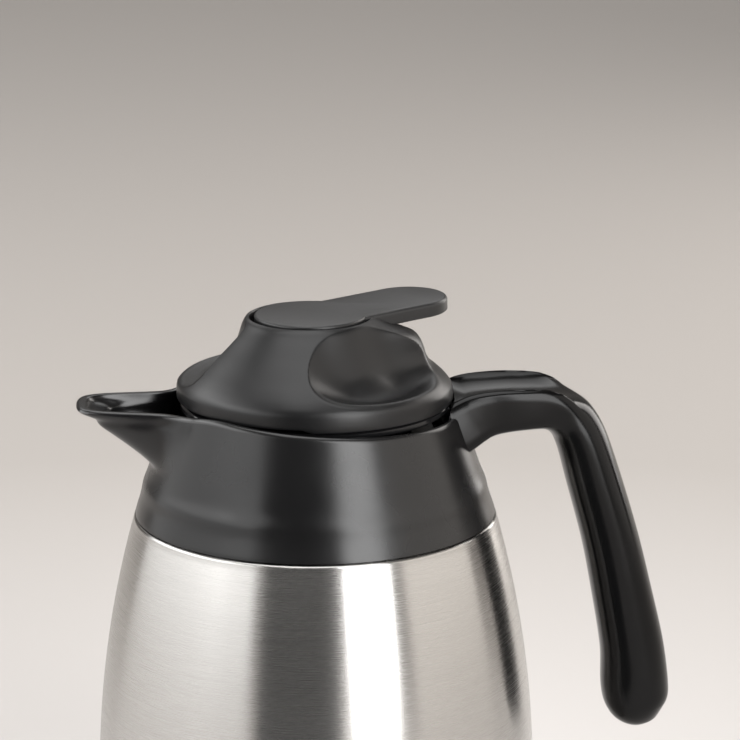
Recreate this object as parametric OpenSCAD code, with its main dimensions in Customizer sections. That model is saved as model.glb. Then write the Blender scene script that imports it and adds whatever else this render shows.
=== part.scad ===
// Thermal carafe with a twist-off lid and a thumb lever.
// +Z is up, the origin is on the axis at the bottom of the pad.
// The spout points to -X and the handle to +X. Millimetres and degrees.

/* [Steel body] */
// Height of the seam between steel and collar
seam_z = 155; // [148:1:164]
// Radius of the body at the seam
seam_r = 56.5; // [55.5:0.5:58.5]
// Largest radius of the body
belly_r = 69.4; // [67:0.2:73]
// Height of the largest radius
belly_z = 64.4; // [56:0.2:74]
// Sheet of the shell and of the flask
steel_t = 0.8; // [0.6:0.1:1]
// Vacuum space between shell and flask
vacuum_gap = 5.5; // [4:0.5:8]
// Bore of the flask's neck
neck_bore_r = 30.2; // [29.6:0.2:31]
// Vacuum space around the neck
neck_gap = 1.2; // [0.9:0.1:1.5]
// Height of the mouth above the seam
mouth_rise = 21; // [20:0.5:23]
// Gap under the collar's edge
seam_gap = 0.45; // [0.3:0.05:0.8]
// Radius of the rolled top edge of the steel
roll_r = 1.1; // [1.05:0.05:1.4]
// Corner radius of the flask's bottom
flask_corner_r = 12; // [8:1:16]

/* [Base] */
// Thickness of the pad
pad_t = 1; // [0.8:0.1:2]
// Height of the base cup above the pad
cup_h = 5; // [4:0.5:8]
// Wall of the base cup
cup_t = 1.8; // [1.4:0.1:2.4]
// How far the cup draws in from the body to the floor
cup_taper = 3; // [2:0.5:5]

/* [Collar] */
// Wall of the collar
collar_t = 2.2; // [1.8:0.1:2.6]
// Radius of the rim
rim_r = 45.5; // [45.2:0.1:47]
// Mean height of the rim above the seam
rim_rise = 35.9; // [35.4:0.1:38]
// Rise of the rim at the front, and fall at the handle
rim_tilt = 3.4; // [1:0.1:4]
// Height of the swell that rings the collar, as a radius gain
swell = 0.35; // [0:0.05:0.6]
// Floor of the bowl above the seam
floor_rise = 17.6; // [17:0.1:18.2]
// Thickness of the bowl's floor
floor_t = 2.4; // [2:0.1:3]

/* [Spout] */
// Distance from the axis to the spout's tip
spout_reach = 74.2; // [68:0.2:82]
// Height of the spout's lip above the seam
spout_rise = 35.5; // [34.5:0.1:36.5]
// Height above the seam where the spout's keel starts
keel_rise = 17.4; // [17.2:0.1:21]
// Half angle that the spout takes of the collar
spout_half = 30; // [26:1:34]
// Half angle of the spout's broad middle
spout_core = 12.9; // [11:0.1:14]

/* [Handle] */
// Half width of the arm and grip
handle_half_w = 11.8; // [10:0.2:13]
// Half thickness of the grip at mid height
grip_half_t = 9.2; // [8:0.2:10.5]
// Reach of the grip from the rim to its lowest axis point
handle_reach = 57.2; // [54:0.2:66]
// Drop of the grip's end below the seam
handle_drop = 74.2; // [60:0.2:80]
// Depth of the channel on top of the arm
channel_d = 4; // [2:0.2:4.6]
// Share of the arm's width that the channel takes
channel_share = 0.86; // [0.7:0.02:0.9]
// Radius of the handle screws
handle_screw_r = 1.5; // [1.2:0.1:1.8]
// Sideways place of the handle screws
handle_screw_y = 7.5; // [6:0.5:8.5]
// Depth of the handle screws below the rim
handle_screw_drop = 4.4; // [3.6:0.1:5]

/* [Lid] */
// Height of the lid from its skirt's edge to its top
lid_h = 26.3; // [25:0.1:29]
// Height of the skirt's edge above the mean rim
skirt_lift = 0.6; // [0.4:0.1:1.4]
// Wall of the lid
lid_t = 2.4; // [2:0.1:2.8]
// Step up of the skirt over the spout
pour_step = 1; // [0.4:0.1:1.4]
// Half angle that the step takes of the skirt
pour_half = 54.6; // [48:0.2:60]
// Half angle of the thumb's scoop
thumb_scoop_half = 43; // [34:1:44]
// Angle of the thumb scoop's middle from the lid's front
thumb_scoop_mid = 95; // [92:1:100]
// Half angle of the fingers' scoop
finger_scoop_half = 60; // [50:1:62]
// Angle of the finger scoop's middle from the lid's front
finger_scoop_mid = 70; // [68:1:76]
// Turn of the lid from locked to free, as it stands here
lid_turn = 30; // [26:1:34]

/* [Lever] */
// Radius of the lever's disc
disc_r = 17.4; // [16:0.2:18.2]
// Gap around the disc
well_gap = 1.4; // [1.2:0.1:1.8]
// How far the disc's centre lies in front of the axis
disc_forward = 1.6; // [0.6:0.1:2]
// Thickness of the disc
disc_t = 3.4; // [2.8:0.1:4]
// Half width of the thumb paddle
paddle_half_w = 13; // [11:0.5:13.5]
// Thickness of the thumb paddle
paddle_t = 4.4; // [4:0.2:5.4]
// Distance from the axis to the paddle's tip
paddle_reach = 48; // [44:0.5:50]
// Slope of the paddle up to its tip
paddle_slope = 1.6; // [0:0.1:3]
// How far the lever's top stands proud of the lid's
lever_rise = 0.6; // [0:0.1:1]
// Radius of the lever's pin
pin_r = 1.25; // [1:0.05:1.5]
// Distance of the pin behind the axis
pin_x = 14; // [13:0.5:15]
// Depth of the pin below the top of the lid
pin_drop = 7.8; // [7.5:0.1:8.2]

/* [Stopper] */
// Gap between the stopper's barrel and the neck's bore
barrel_gap = 1.4; // [1.2:0.1:1.8]
// Wall of the barrel
barrel_t = 2.4; // [2:0.1:3]
// How far the glossy flange stays inside the lid's skirt
flange_inset = 1.2; // [1:0.1:2]
// Thickness of the flange
flange_t = 2.4; // [2:0.1:3]
// Reach of the bayonet lugs past the neck's bore
lug_reach = 4; // [3.4:0.1:4.2]
// Thickness of the lugs
lug_t = 2.1; // [1.8:0.1:2.4]
// Angle that each lug takes
lug_angle = 26; // [20:1:28]
// Depth of the barrel below the mouth
barrel_depth = 16; // [14:0.5:18]
// Radius of the pouring port
port_r = 14; // [11:0.5:15]
// How far the valve plug reaches past the port
plug_reach = 3; // [2:0.5:5]
// Radius of the stem
stem_r = 2; // [1.8:0.1:2.4]
// Radius of the spring's wire
wire_r = 0.5; // [0.4:0.05:0.6]
// Mean radius of the spring outside the stem's guide
spring_reach = 0.9; // [0.8:0.1:1.6]

/* [Hidden] */

// Clearances: faces that touch in one body, running fits, and pieces that pass each other.
touch = 0.05;
running = 0.08;
pass = 0.3;

// Steel
arc_rise = seam_z - belly_z;
arc_draw = belly_r - seam_r;
arc_r = (arc_rise * arc_rise + arc_draw * arc_draw) / (2 * arc_draw);
shell_z = pad_t + cup_h;
neck_r = neck_bore_r + 2 * steel_t + neck_gap;
mouth_z = seam_z + mouth_rise;
edge_z = seam_z - seam_gap;
step_r = seam_r - collar_t - pass;
step_rise = 3;
step_top_r = step_r - step_rise * (seam_r - rim_r) / (rim_rise - rim_tilt);
neck_fillet = 3;
shoulder_z = seam_z + 9;
flask_z = shell_z + steel_t + vacuum_gap;
flask_top_z = seam_z - 7;

// Collar
rim_z = seam_z + rim_rise;
floor_z = seam_z + floor_rise;
lip_round = 0.5;
handle_screw_rise = rim_rise - rim_tilt - handle_screw_drop;

// Lid: the skirt's radius and edge, the well's radius, and the edge of the dome's top
lid_r = rim_r - collar_t - pass;
skirt_z = rim_z + skirt_lift;
lid_top_z = skirt_z + lid_h;
lever_top_z = lid_top_z + lever_rise;
well_r = disc_r + well_gap;
crown_r = well_r + 0.6;

// Stopper
barrel_r = neck_bore_r - barrel_gap;
flange_r = lid_r - flange_inset;
lug_r = neck_bore_r + lug_reach;
plug_r = port_r + plug_reach;
flange_top_z = skirt_z - 0.4;
flange_z = flange_top_z - flange_t;
ledge_z = mouth_z + lug_t + 2 * pass;
ledge_t = 2.4;
slot_angle = lug_angle + 4;
barrel_z = mouth_z - barrel_depth;
seat_t = 3;
seat_z = barrel_z + seat_t;
gasket_h = 3.4;
gasket_z = barrel_z + 5.5;
gasket_in_r = barrel_r - 2.2;
inner_r = gasket_in_r - pass - 2.2;
guide_in_r = stem_r + 2;
guide_out_r = guide_in_r + 2.1;
spring_r = guide_out_r + spring_reach;
guide_z = flange_z - 4;
seal_room = 2.2;

// Valve: the stem's head hangs in the lever's toes
pin_z = lid_top_z - pin_drop;
head_r = 4.6;
head_t = 1.2;
toe_z = pin_z - 2.8;
toe_t = 1.6;
head_z = toe_z + toe_t + 0.2;
seal_t = 1.5;
seal_z = seat_z + 0.2;
plug_z = seal_z + seal_t;
plug_t = 3.6;
nut_t = 2.4;
nut_z = seal_z - nut_t;

function mix(a, b, t) = a + (b - a) * t;
function unit(x) = min(1, max(0, x));
function smooth(low, high, x) = let (t = unit((x - low) / (high - low))) t * t * (3 - 2 * t);
function bulge(x, power) = sign(x) * pow(abs(x), power);

// Point at u on the smooth curve through a list of points; u counts the points.
function curve_at(points, u) =
    let (last = len(points) - 1, i = min(floor(u), last - 1), t = u - i,
         a = points[max(i - 1, 0)], b = points[i], c = points[i + 1], d = points[min(i + 2, last)])
    0.5 * (2 * b + (c - a) * t + (2 * a - 5 * b + 4 * c - d) * t * t + (3 * b - a - 3 * c + d) * t * t * t);

// Triangles between closed loops of points. A closed skin joins the last loop to the first.
function skin_faces(loops, count) =
    [for (i = [0:loops - 1]) for (j = [0:count - 1])
        let (next = (i + 1) % loops, k = (j + 1) % count,
             a = i * count + j, b = i * count + k, c = next * count + k, d = next * count + j)
        each [[a, c, b], [a, d, c]]];

module ring_skin(loops) {
    polyhedron(points = [for (loop = loops) each loop], faces = skin_faces(len(loops), len(loops[0])),
               convexity = 10);
}

// A skin from end to end, closed at both ends with a fan around the end's middle.
module tube_skin(loops) {
    count = len(loops[0]);
    last = len(loops) - 1;
    points = [for (loop = loops) each loop];
    size = len(points);
    start_mid = [for (k = [0:2]) (loops[0][0][k] + loops[0][count / 2][k]) / 2];
    end_mid = [for (k = [0:2]) (loops[last][0][k] + loops[last][count / 2][k]) / 2];
    side = [for (i = [0:last - 1]) for (j = [0:count - 1])
        let (k = (j + 1) % count, a = i * count + j, b = i * count + k)
        each [[a, b, b + count], [a, b + count, a + count]]];
    caps = [for (j = [0:count - 1]) let (k = (j + 1) % count)
        each [[size, k, j], [size + 1, last * count + j, last * count + k]]];
    polyhedron(points = concat(points, [start_mid, end_mid]), faces = concat(side, caps), convexity = 10);
}

module ring(inner, outer, z, height) {
    translate([0, 0, z])
        difference() {
            cylinder(r = outer, h = height, $fn = 96);
            translate([0, 0, -1]) cylinder(r = inner, h = height + 2, $fn = 96);
        }
}

// Everything on the lid is drawn with its front at -X and then turned to where it stands.
module on_lid() {
    rotate([0, 0, lid_turn]) children();
}

// ---- Steel body ----

function body_r(z) = belly_r - arc_r + sqrt(arc_r * arc_r - (z - belly_z) * (z - belly_z));

function reversed(list) = [for (i = [len(list) - 1:-1:0]) list[i]];

// A turned sheet between its outer line and its inner line.
module sheet(outside, inside) {
    rotate_extrude($fn = 96) polygon(concat(outside, reversed(inside)));
}

// The outer wall's line from the bottom over the roll to the step in the collar, moved in by off.
function wall_line(off) =
    let (steps = 22, roll_z = edge_z - roll_r, roll_x = body_r(roll_z) - roll_r)
    concat(
        [for (i = [0:steps]) let (z = mix(shell_z, roll_z, i / steps)) [body_r(z) - off, z]],
        [for (a = [18:18:90]) [roll_x + (roll_r - off) * cos(a), roll_z + (roll_r - off) * sin(a)]],
        [[step_r - off, edge_z - off], [step_top_r - off, seam_z + step_rise - 0.35 * off]]);

// The line from the step over the shoulder to the mouth.
function shoulder_line(off) =
    [[step_top_r - off, seam_z + step_rise - 0.35 * off],
     [neck_r + neck_fillet - 0.4 * off, shoulder_z - off],
     [neck_r - off, shoulder_z + neck_fillet - 0.4 * off],
     [neck_r - off, mouth_z]];

module outer_shell() {
    color([0.78, 0.78, 0.76]) sheet(wall_line(0), wall_line(steel_t));
}

module shell_shoulder() {
    color([0.74, 0.74, 0.72]) sheet(shoulder_line(0), shoulder_line(steel_t));
}

// The flask's wall stays at one gap from the shell's.
flask_gap = steel_t + vacuum_gap;
flask_corner_z = flask_z + flask_corner_r;

function flask_wall_line(off) =
    let (steps = 16)
    [for (i = [0:steps])
        let (z = mix(flask_corner_z, flask_top_z, i / steps)) [body_r(z) - flask_gap - off, z]];

// The flask's dished bottom, from the middle to the wall
function flask_bottom_line(off) =
    let (corner_x = body_r(flask_corner_z) - flask_gap - flask_corner_r)
    concat(
        [[0, flask_z + off]],
        [for (a = [-90:15:0]) [corner_x + (flask_corner_r - off) * cos(a),
                               flask_corner_z + (flask_corner_r - off) * sin(a)]]);

// The flask's shoulder, from the wall to the neck
function flask_neck_line(off) =
    let (neck_out = neck_r - steel_t - neck_gap)
    [[body_r(flask_top_z) - flask_gap - off, flask_top_z],
     [neck_out + neck_fillet - 0.6 * off, shoulder_z - 4 - off],
     [neck_out - off, shoulder_z - 0.5 * off]];

module inner_flask() {
    color([0.7, 0.7, 0.69]) sheet(flask_wall_line(0), flask_wall_line(steel_t));
}

module flask_bottom() {
    color([0.68, 0.68, 0.67]) sheet(flask_bottom_line(0), flask_bottom_line(steel_t));
}

module flask_neck() {
    lip_r = neck_r - steel_t;
    lip = [[neck_bore_r + steel_t, mouth_z - steel_t], [lip_r, mouth_z - steel_t],
           [lip_r, mouth_z], [neck_bore_r, mouth_z]];
    color([0.68, 0.68, 0.67]) sheet(concat(flask_neck_line(0), lip), flask_neck_line(steel_t));
}

module shell_bottom() {
    plug_hole_r = 2.5;
    color([0.72, 0.72, 0.7])
        translate([0, 0, shell_z])
            difference() {
                cylinder(r = body_r(shell_z) - steel_t, h = steel_t, $fn = 96);
                translate([0, 0, -1]) cylinder(r = plug_hole_r, h = steel_t + 2, $fn = 32);
            }
}

module vacuum_plug() {
    color([0.6, 0.6, 0.6]) {
        translate([0, 0, shell_z - 0.7]) cylinder(r = 4, h = 0.7, $fn = 32);
        translate([0, 0, shell_z - 0.1]) cylinder(r = 2.5 - touch, h = steel_t + 0.1, $fn = 32);
    }
}

module getter() {
    color([0.5, 0.5, 0.52])
        translate([22, 0, shell_z + steel_t]) cylinder(r = 6, h = vacuum_gap - 2.5, $fn = 32);
}

// ---- Base ----

module base_cup() {
    top_r = body_r(shell_z);
    low_r = top_r - cup_taper;
    color([0.1, 0.1, 0.11])
        rotate_extrude($fn = 96)
            polygon([[0, pad_t], [low_r - 1, pad_t], [low_r, pad_t + 1],
                     [top_r, shell_z], [0.9 * top_r, shell_z], [0.9 * top_r - cup_t, shell_z - 1],
                     [low_r - cup_t - 3, pad_t + cup_t], [0, pad_t + cup_t]]);
}

module base_pad() {
    color([0.2, 0.2, 0.2])
        cylinder(r = body_r(shell_z) - cup_taper - 3, h = pad_t, $fn = 96);
}

// ---- Collar ----

// Angles around the collar from the spout, close together where the spout bends.
half_turn = [1, 2, 3, 4, 5, 6, 7, 8, 9, 10, 11, 12, 13, 14, 15, 16, 18, 20, 22, 24, 27, 30, 34, 39, 44, 50,
             56, 64, 72, 80, 88, 96, 104, 112, 120, 128, 136, 144, 152, 160, 168, 174];
collar_angles = concat([0], half_turn, [180], [for (i = [len(half_turn) - 1:-1:0]) -half_turn[i]]);

// How much of the spout's reach is left at an angle: all across its tip, then steep sides.
function spout_fade(angle, core = spout_core) =
    let (ends = 1 / (1 + pow(spout_half / core, 5)))
    max(0, 1 / (1 + pow(abs(angle) / core, 5)) - ends) / (1 - ends);

// The spout's lip runs into the rim between these angles, and stands a little higher at its tip.
lip_end = 16;
rim_start = 50;
tip_rise = 0.9;

function rim_rise_at(angle) =
    mix(spout_rise + tip_rise * spout_fade(angle), rim_rise + rim_tilt * cos(angle),
        smooth(lip_end, rim_start, abs(angle)));

// How far the spout stands out at a height above the seam: a soft start, and a hollow under the thick lip.
function keel_at(rise) =
    let (share = (rise - keel_rise) / (spout_rise - keel_rise), soft = 0.03,
         hollow = 1.8 * exp(-pow((rise - spout_rise + 2.7) / 1.5, 2)))
    max(0, (spout_reach - rim_r) * pow(unit((share + sqrt(share * share + soft * soft)) / 2), 1.1) - hollow);

// Outside of the collar at a share v of its height.
function collar_out(angle, v) =
    let (rise = v * rim_rise_at(angle))
    [mix(seam_r, rim_r, v) + swell * exp(-pow((rise - 10) / 2.6, 2)) + keel_at(rise) * spout_fade(angle), rise];
function collar_in(angle, v) =
    let (rise = v * rim_rise_at(angle), deep = max(0, keel_at(rise) - 1.8))
    [mix(seam_r, rim_r, v) - collar_t + deep * spout_fade(angle, spout_core - 1.5), rise];

// Top and bottom of the joint between the collar's wall and the bowl's floor
function joint_top(angle) = collar_in(angle, (floor_rise + 1.6) / rim_rise_at(angle));
function joint_low(angle) = [mix(seam_r, rim_r, 0.32) - collar_t, 0.32 * rim_rise_at(angle)];

function collar_section(angle) =
    let (top = collar_out(angle, 1), inside = collar_in(angle, 1), rise = rim_rise_at(angle),
         floor_v = (floor_rise + 1.6) / rise, lip = lip_round * (1 + spout_fade(angle)))
    concat(
        [for (v = [0, 0.08, 0.15, 0.21, 0.26, 0.31, 0.37, 0.44, 0.5, 0.56, 0.63, 0.7, 0.77, 0.84, 0.9, 0.95])
            collar_out(angle, v)],
        [[top[0], rise - lip], [top[0] - lip, rise], [inside[0] + lip, rise], [inside[0], rise - lip]],
        [for (v = [0.93, 0.85, 0.77, 0.69, 0.61]) collar_in(angle, max(v, floor_v + 0.02))],
        [joint_top(angle), joint_low(angle)],
        [for (v = [0.16, 0]) [mix(seam_r, rim_r, v) - collar_t, v * rise]]);

function floor_section(angle) =
    let (high = joint_top(angle), low = joint_low(angle), under = floor_rise - floor_t)
    [[high[0] - touch, high[1]], [high[0] - 2, floor_rise + 0.4], [neck_r + 6, floor_rise],
     [neck_r + pass, floor_rise], [neck_r + pass, under], [neck_r + 9, under],
     [seam_r - collar_t - 4.6, under - 1.6], [low[0] - touch, low[1]]];

// Sections around the collar, joined into one ring
module collar_ring(sections) {
    ring_skin([for (i = [0:len(collar_angles) - 1]) let (angle = collar_angles[i])
        [for (p = sections[i]) [-p[0] * cos(angle), p[0] * sin(angle), seam_z + p[1]]]]);
}

module collar() {
    color([0.12, 0.12, 0.13])
        difference() {
            collar_ring([for (angle = collar_angles) collar_section(angle)]);
            handle_screw_holes(handle_screw_r + pass);
        }
}

module bowl_floor() {
    color([0.12, 0.12, 0.13]) collar_ring([for (angle = collar_angles) floor_section(angle)]);
}

module collar_seal() {
    low = shoulder_z + touch * 2;
    high = floor_z - floor_t;
    color([0.75, 0.75, 0.75])
        rotate_extrude($fn = 96)
            polygon([[neck_r + touch, low + neck_fillet], [neck_r + neck_fillet + touch, low],
                     [neck_r + neck_fillet + touch, high], [neck_r + touch, high]]);
}

// Three wedges of one angle, each with its middle at the given angle.
module wedges(middle, angle, outer, z, height) {
    for (k = [0:2])
        rotate([0, 0, middle + 120 * k - angle / 2])
            translate([0, 0, z])
                rotate_extrude(angle = angle, $fn = 96) square([outer, height]);
}

module bayonet_ring() {
    ring_r = max(neck_r, lug_r) + 3.8;
    color([0.15, 0.15, 0.16])
        difference() {
            rotate_extrude($fn = 96)
                polygon([[neck_r + touch, floor_z], [ring_r, floor_z], [ring_r, ledge_z + ledge_t - 1],
                         [ring_r - 1, ledge_z + ledge_t], [neck_bore_r, ledge_z + ledge_t],
                         [neck_bore_r, ledge_z], [lug_r + pass, ledge_z],
                         [lug_r + pass, mouth_z], [neck_r + touch, mouth_z]]);
            wedges(lid_turn, slot_angle, lug_r + pass, ledge_z - 1, ledge_t + 2);
        }
}

// ---- Handle ----

// Rows along the handle: place from the rim and the seam, half thickness, half width.
handle_rows = [
    [-2.5, 28.4, 8.9, 1.36 * handle_half_w],
    [3, 31.4, 8.4, 1.28 * handle_half_w],
    [9, 33.1, 7.5, 1.22 * handle_half_w],
    [18, 33.8, 7.1, 1.18 * handle_half_w],
    [27, 33.3, 7.2, 1.08 * handle_half_w],
    [33.4, 29.3, 7.5, handle_half_w],
    [38, 22.3, 0.87 * grip_half_t, handle_half_w],
    [42.6, 8, 0.93 * grip_half_t, handle_half_w],
    [48.2, -11.5, 0.97 * grip_half_t, handle_half_w],
    [handle_reach - 4.8, -30, 1.03 * grip_half_t, handle_half_w],
    [handle_reach - 1.2, -48, 1.1 * grip_half_t, handle_half_w],
    [handle_reach, 13.4 - handle_drop, 1.17 * grip_half_t, handle_half_w],
    [handle_reach + 0.9, 6.8 - handle_drop, 1.05 * grip_half_t, 0.92 * handle_half_w],
    [handle_reach + 2.2, 2 - handle_drop, 0.62 * grip_half_t, 0.62 * handle_half_w],
    [handle_reach + 2.8, -handle_drop, 1.6, 1.8]];

// The channel fades in behind the root and out in the bend.
function channel_at(u) = channel_d * smooth(0.2, 1.1, u) * (1 - smooth(3.6, 5.4, u));

function handle_section(u) =
    let (row = curve_at(handle_rows, u), e = 0.02, last = len(handle_rows) - 1,
         ahead = curve_at(handle_rows, min(u + e, last)), behind = curve_at(handle_rows, max(u - e, 0)),
         along = [ahead[0] - behind[0], ahead[1] - behind[1]], span = norm(along),
         out = [-along[1] / span, along[0] / span], count = 28,
         power = 2 / mix(5.4, 2.2, smooth(2.2, 5.6, u)), deep = channel_at(u))
    [for (k = [0:count - 1])
        let (angle = -360 * k / count, side = row[3] * bulge(cos(angle), power),
             flat = row[2] * bulge(sin(angle), power),
             dip = flat > 0 ? deep * pow(max(0, 1 - pow(side / (channel_share * row[3]), 2)), 0.6) : 0,
             rise = flat - dip)
        [rim_r + row[0] + out[0] * rise, side, seam_z + row[1] + out[1] * rise]];

// Screws from the bowl into the handle's root
module handle_screw_holes(radius) {
    for (side = [-1, 1])
        translate([rim_r - 8, side * handle_screw_y, seam_z + handle_screw_rise])
            rotate([0, 90, 0]) cylinder(r = radius, h = 15, $fn = 24);
}

module handle() {
    rear_rise = rim_rise - rim_tilt;
    lift = 12;
    over_rim = 0.35;
    wall_r = rim_r + 0.1;
    slope = (seam_r - rim_r) / rear_rise;
    color([0.07, 0.07, 0.08])
        difference() {
            tube_skin([for (i = [0:42]) handle_section(i / 3)]);
            translate([0, 0, seam_z])
                cylinder(r1 = wall_r + slope * rear_rise, r2 = wall_r, h = rear_rise, $fn = 96);
            translate([0, 0, seam_z + rear_rise - 0.5]) cylinder(r = wall_r, h = 0.5 + over_rim, $fn = 96);
            translate([0, 0, seam_z + rear_rise]) cylinder(r = lid_r + 2 * pass, h = lift, $fn = 96);
            handle_screw_holes(handle_screw_r + touch);
        }
}

module handle_screws() {
    head_x = rim_r - collar_t - 0.6;
    head_h = 1.6;
    shank_h = 9.4;
    color([0.6, 0.6, 0.62])
        for (side = [-1, 1])
            translate([head_x, side * handle_screw_y, seam_z + handle_screw_rise])
                rotate([0, 90, 0]) {
                    translate([0, 0, -head_h]) cylinder(r = 2 * handle_screw_r, h = head_h, $fn = 24);
                    cylinder(r = handle_screw_r, h = shank_h, $fn = 24);
                }
}

// ---- Lid ----

// Profiles of the lid from the skirt's edge to the top. Each pair is the share of the way out
// from the crown to the skirt, and the share of the height.
front_profile = [[1, 0], [1, 0.143], [0.98, 0.223], [0.91, 0.306], [0.8, 0.404], [0.66, 0.513],
                 [0.513, 0.626], [0.364, 0.736], [0.229, 0.838], [0.123, 0.917], [0.051, 0.974], [0, 1]];
scoop_profile = [[1, 0], [1, 0.136], [0.975, 0.211], [0.915, 0.249], [0.814, 0.242], [0.653, 0.238],
                 [0.475, 0.298], [0.322, 0.419], [0.22, 0.57], [0.14, 0.743], [0.076, 0.909], [0, 1]];
rear_profile = [[1, 0], [1, 0.087], [0.983, 0.162], [0.924, 0.238], [0.831, 0.321], [0.735, 0.4],
                [0.67, 0.502], [0.63, 0.62], [0.57, 0.725], [0.45, 0.81], [0.21, 0.9], [0, 1]];
rings = len(front_profile) - 1;

// How deep a place lies in a scoop: 0 outside its edge, 1 well inside. The share is along the profile.
// The thumb's scoop is a soft bowl, and the fingers' scoop is squarer with a crisp edge.
function scoop_depth(angle, share) =
    let (thumb = angle < 0, middle = thumb ? -thumb_scoop_mid : finger_scoop_mid,
         across = abs(angle - middle) / (thumb ? thumb_scoop_half : finger_scoop_half),
         up = abs(share - 0.55) / 0.4, power = thumb ? 2 : 5, edge = thumb ? 0.7 : 0.16,
         in = unit((1 - pow(pow(across, power) + pow(up, power), 1 / power)) / edge))
    1 - (1 - in) * (1 - in);

// Distance from the axis to the edge of the well, whose middle lies in front of the axis.
function well_at(angle, radius) =
    disc_forward * cos(angle) + sqrt(radius * radius - pow(disc_forward * sin(angle), 2));

// Between these angles the front's outline passes into the rear's.
front_end = 95;
rear_start = 145;

function lid_row(angle, i) =
    let (shell = mix(front_profile[i], rear_profile[i], smooth(front_end, rear_start, abs(angle))),
         pair = mix(shell, scoop_profile[i], scoop_depth(angle, i / rings)))
    [mix(well_at(angle, crown_r), lid_r, pair[0]), lid_h * pair[1]];

// The skirt's edge steps up over the spout, on a short ramp.
function pour_lift(angle) = pour_step * unit((pour_half - abs(angle)) / 4);

// The lid's wall follows its outside at one thickness, from the skirt up to the well.
function wall_point(rows, u) =
    let (e = 0.05, p = curve_at(rows, u),
         t = curve_at(rows, min(u + e, rings)) - curve_at(rows, max(u - e, 0)), n = norm(t))
    [p[0] - lid_t * t[1] / n, p[1] + lid_t * t[0] / n];

function lid_section(angle) =
    let (rows = [for (i = [0:rings]) lid_row(angle, i)], lift = pour_lift(angle),
         inner_top = wall_point(rows, 7.5))
    concat(
        [[lid_r, lift]],
        [for (u = [1, 1.5, 2, 2.5, 3, 3.5, 4, 4.5, 5, 5.5, 6, 6.5, 7, 7.5, 8, 8.5, 9, 9.5, 10, 10.5, 11])
            curve_at(rows, u)],
        [[well_at(angle, well_r), lid_h - 0.6], [well_at(angle, well_r), inner_top[1]]],
        [for (u = [7.5, 6.5, 5.5, 4.5, 3.5, 2.3, 1.2]) wall_point(rows, u)],
        [[lid_r - lid_t, lift]]);

lid_angles = [for (a = [0:5:355]) a > 180 ? a - 360 : a];
lid_screw_angles = [0, 152, -152];
lid_screw_place = 32;
lid_screw_r = 1.2;
lid_screw_h = 8;

module at_lid_screws() {
    for (angle = lid_screw_angles)
        rotate([0, 0, 180 + angle]) translate([lid_screw_place, 0, 0]) children();
}

slot_half_w = paddle_half_w + 0.7;

// Slot behind the disc for the paddle and its travel
module paddle_slot() {
    travel = 3.4;
    translate([0, -slot_half_w, lid_top_z - paddle_t - travel])
        cube([lid_r + 10, 2 * slot_half_w, paddle_t + travel + 5]);
}

// Room under the slot for the lever's lugs
module lug_room() {
    half_l = 5.6;
    translate([pin_x - half_l, -slot_half_w, pin_z - 4.6]) cube([2 * half_l, 2 * slot_half_w, 10]);
}

// Blocks at both sides of the slot that hold the pin
module pin_ears() {
    half_l = 4;
    ear_t = 3.4;
    below = pin_r + 1.95;
    above = 1;
    for (side = [-1, 1])
        translate([pin_x - half_l, side * (slot_half_w + ear_t / 2) - ear_t / 2, pin_z - below])
            cube([2 * half_l, ear_t, below + above]);
}

module lid_shell() {
    boss_r = 3.2;
    boss_h = 12;
    color([0.2, 0.2, 0.21])
        on_lid()
            difference() {
                union() {
                    ring_skin([for (angle = lid_angles)
                        [for (p = lid_section(angle))
                            [-p[0] * cos(angle), p[0] * sin(angle), skirt_z + p[1]]]]);
                    at_lid_screws() translate([0, 0, flange_top_z])
                        cylinder(r = boss_r, h = boss_h, $fn = 32);
                    pin_ears();
                }
                paddle_slot();
                lug_room();
                at_lid_screws() translate([0, 0, flange_top_z - 1])
                    cylinder(r = lid_screw_r + touch, h = lid_screw_h + 1.5, $fn = 24);
                translate([pin_x, 0, pin_z]) rotate([90, 0, 0])
                    cylinder(r = pin_r + touch, h = 2 * (paddle_half_w + 2.6), center = true, $fn = 24);
            }
}

module lid_screws() {
    color([0.6, 0.6, 0.62])
        on_lid() at_lid_screws() {
            translate([0, 0, flange_z - 1.2]) cylinder(r = 2 * lid_screw_r, h = 1.2, $fn = 24);
            translate([0, 0, flange_z]) cylinder(r = lid_screw_r, h = flange_t + lid_screw_h, $fn = 24);
        }
}

module lever_pin() {
    color([0.7, 0.7, 0.72])
        on_lid() translate([pin_x, 0, pin_z]) rotate([90, 0, 0])
            cylinder(r = pin_r, h = 2 * (paddle_half_w + 2.2), center = true, $fn = 32);
}

module paddle_outline(inset) {
    half_w = paddle_half_w - inset;
    end_x = paddle_reach - paddle_half_w;
    translate([0, -half_w]) square([end_x, 2 * half_w]);
    translate([end_x, 0]) circle(r = half_w, $fn = 64);
}

// A plate whose top edge is bevelled, with its top at the lever's top
module bevelled_plate(thickness, bevel) {
    translate([0, 0, lever_top_z - bevel]) linear_extrude(bevel) children(0);
    translate([0, 0, lever_top_z - thickness]) linear_extrude(thickness - bevel) children(1);
}

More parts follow.
